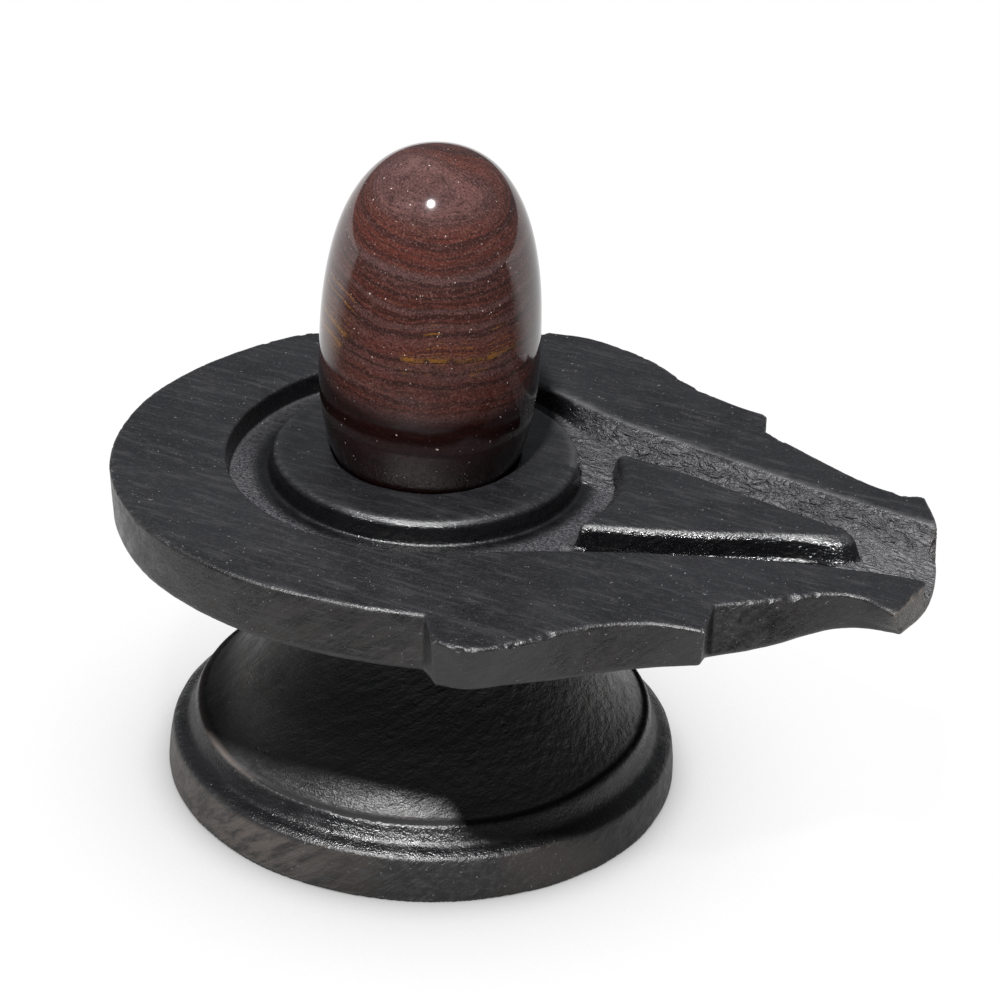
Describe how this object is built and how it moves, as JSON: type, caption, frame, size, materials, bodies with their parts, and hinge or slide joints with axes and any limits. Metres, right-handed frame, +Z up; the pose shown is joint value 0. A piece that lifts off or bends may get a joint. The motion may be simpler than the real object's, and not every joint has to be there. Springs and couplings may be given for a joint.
{
  "type": "lingam stone on a yoni base",
  "caption": "Polished egg-shaped banded stone standing in the socket of a carved black stone base with a ring groove, an open spout and a bell-shaped foot.",
  "frame": {"origin": "centre of the foot's flat underside", "axes": "+Z up along the standing stone, +X from the stone towards the spout"},
  "size_m": [0.1816, 0.1449, 0.1511],
  "materials": {
    "black_stone": "honed, damp, glossy in the grooves and on the foot",
    "banded_stone": "polished, with grey and brown bands"
  },
  "bodies": {
    "root": {"yoni_base": "black_stone", "lingam_stone": "banded_stone"}
  },
  "joints": []
}
